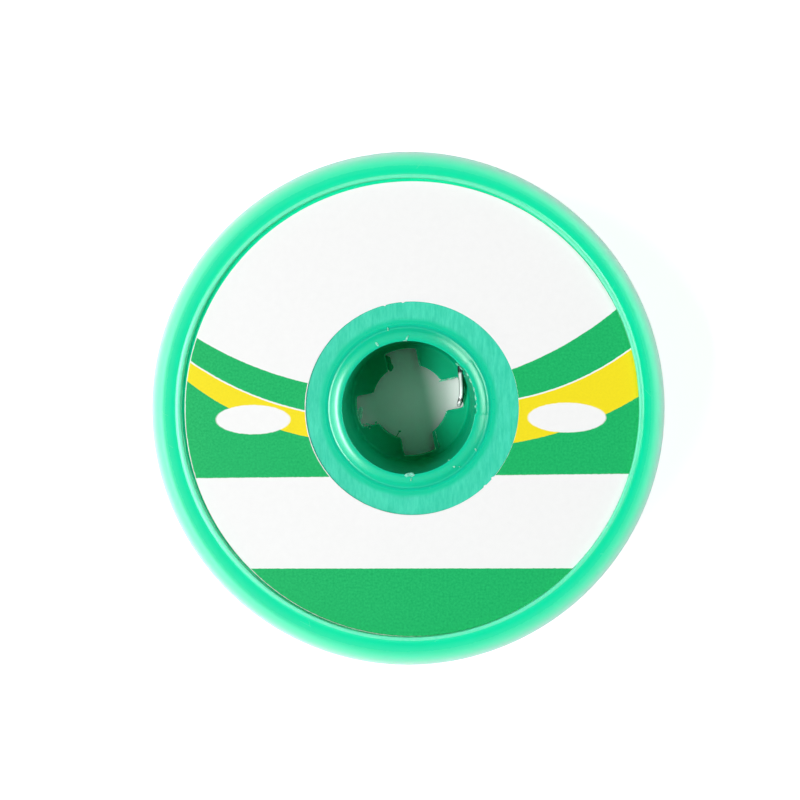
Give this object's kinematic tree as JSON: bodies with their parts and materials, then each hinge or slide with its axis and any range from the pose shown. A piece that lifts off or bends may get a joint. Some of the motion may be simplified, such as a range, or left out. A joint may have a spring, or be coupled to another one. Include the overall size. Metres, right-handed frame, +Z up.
{
  "type": "solder wire spool",
  "caption": "Small flat plastic reel of flux-cored solder wire, with rounded rims, a printed ring label and a keyed web across the bottom of its bore.",
  "frame": {"origin": "centre of the plane that the lower rim stands on, on the reel's axis", "axes": "+Z up along the reel's axis, from the lower flange to the labelled flange; +Y towards the top of the label, +X towards its right"},
  "size_m": [0.055, 0.055, 0.015],
  "materials": {
    "reel_plastic": "glossy translucent moulding",
    "label": "satin printed sticker",
    "solder": "bright drawn wire",
    "flux": "clear amber rosin",
    "tape": "thin clear adhesive tape"
  },
  "bodies": {
    "root": {"hub_and_lower_flange": "reel_plastic", "upper_flange": "reel_plastic", "front_label": "label", "wire_inner_layers": "solder", "wire_outer_layer": "solder", "wire_start_tail": "solder", "tail_flux_core": "flux", "end_tape": "tape"}
  },
  "joints": []
}
